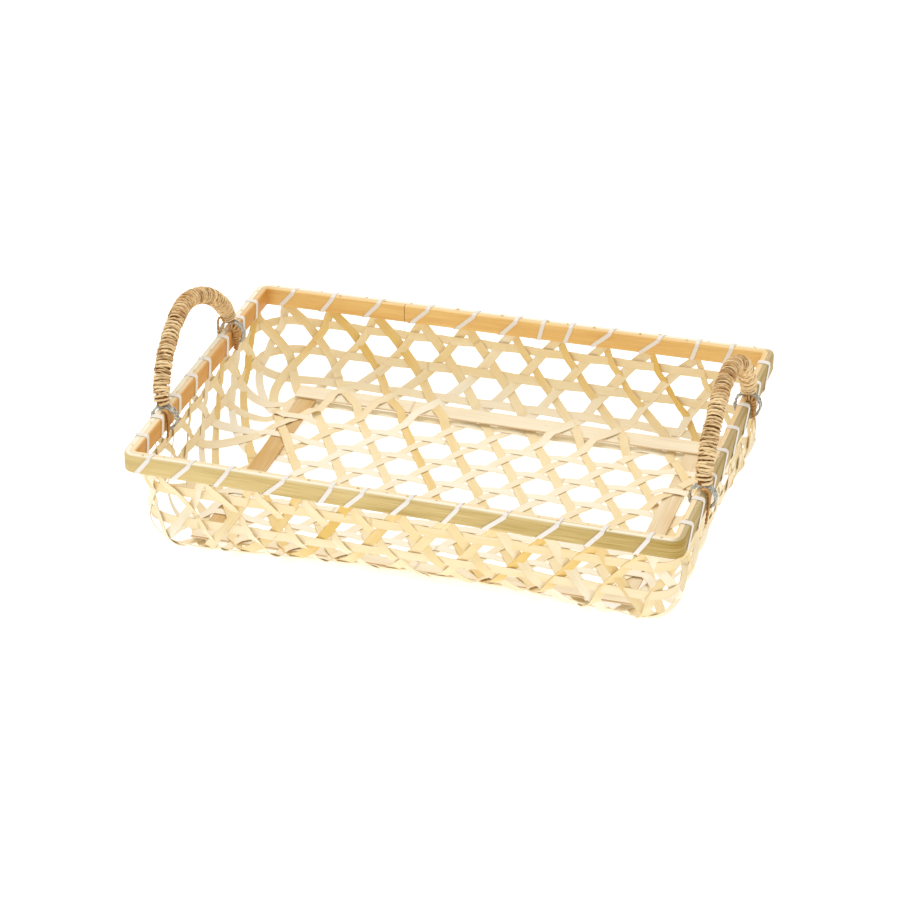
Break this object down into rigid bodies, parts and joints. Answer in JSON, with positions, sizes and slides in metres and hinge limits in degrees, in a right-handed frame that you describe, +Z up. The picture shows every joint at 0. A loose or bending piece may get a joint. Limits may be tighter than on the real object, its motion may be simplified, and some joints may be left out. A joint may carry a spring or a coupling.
{
  "type": "handled basket",
  "caption": "Shallow rectangular tray basket of open hexagonal bamboo weave, with a lashed split-bamboo rim and an arched twine-wound handle tied over each short side.",
  "frame": {"origin": "middle of the face that the basket stands on", "axes": "+X along the long side, +Y from front to back, +Z up"},
  "size_m": [0.3753, 0.2622, 0.124],
  "materials": {
    "bamboo_pale": "satin split bamboo",
    "bamboo_golden": "satin bamboo skin",
    "slat": "matt split bamboo with grain",
    "rim_outer": "satin bamboo skin",
    "rim_inner": "matt split bamboo",
    "lashing": "satin peeled cane",
    "twine": "fuzzy plant-fibre twine",
    "tie_wire": "dull grey-green wire"
  },
  "bodies": {
    "tray": {"corner_strip_back_left": "bamboo_pale", "corner_strip_back_right": "bamboo_golden", "corner_strip_front_left": "bamboo_golden", "corner_strip_front_right": "bamboo_pale", "diagonal_left_1": "bamboo_golden", "diagonal_left_10": "bamboo_golden", "diagonal_left_11": "bamboo_golden", "diagonal_left_12": "bamboo_golden", "diagonal_left_2": "bamboo_golden", "diagonal_left_3": "bamboo_golden", "diagonal_left_4": "bamboo_golden", "diagonal_left_5": "bamboo_golden", "diagonal_left_6": "bamboo_golden", "diagonal_left_7": "bamboo_golden", "diagonal_left_8": "bamboo_golden", "diagonal_left_9": "bamboo_golden", "diagonal_right_1": "bamboo_pale", "diagonal_right_10": "bamboo_pale", "diagonal_right_11": "bamboo_pale", "diagonal_right_12": "bamboo_pale", "diagonal_right_2": "bamboo_pale", "diagonal_right_3": "bamboo_pale", "diagonal_right_4": "bamboo_pale", "diagonal_right_5": "bamboo_pale", "diagonal_right_6": "bamboo_pale", "diagonal_right_7": "bamboo_pale", "diagonal_right_8": "bamboo_pale", "diagonal_right_9": "bamboo_pale", "floor_slat_back": "slat", "floor_slat_front": "slat", "floor_slat_left": "slat", "floor_slat_right": "slat", "fold_strip_back": "bamboo_pale", "fold_strip_front": "bamboo_pale", "long_strip_1": "bamboo_pale", "long_strip_2": "bamboo_pale", "long_strip_3": "bamboo_pale", "long_strip_4": "bamboo_pale", "long_strip_5": "bamboo_pale", "long_strip_6": "bamboo_pale", "long_strip_7": "bamboo_pale", "long_strip_8": "bamboo_pale", "rim_inner_hoop": "rim_inner", "rim_lashing_back": "lashing", "rim_lashing_front": "lashing", "rim_lashing_left": "lashing", "rim_lashing_right": "lashing", "rim_outer_hoop": "rim_outer", "wall_hoop_lower": "bamboo_pale", "wall_hoop_upper": "bamboo_pale"},
    "handle_left": {"handle_left_core": "twine", "handle_left_tie_back": "tie_wire", "handle_left_tie_front": "tie_wire", "handle_left_winding": "twine"},
    "handle_right": {"handle_right_core": "twine", "handle_right_tie_back": "tie_wire", "handle_right_tie_front": "tie_wire", "handle_right_winding": "twine"}
  },
  "joints": [
    {"name": "left_handle_swing", "type": "hinge", "parent": "tray", "child": "handle_left", "pos_m": [-0.1762, 0, 0.06375], "axis": [0, 1, 0], "range_deg": [-80.5, 99.5]},
    {"name": "right_handle_swing", "type": "hinge", "parent": "tray", "child": "handle_right", "pos_m": [0.1762, 0, 0.06375], "axis": [0, -1, 0], "range_deg": [-90, 90]}
  ]
}
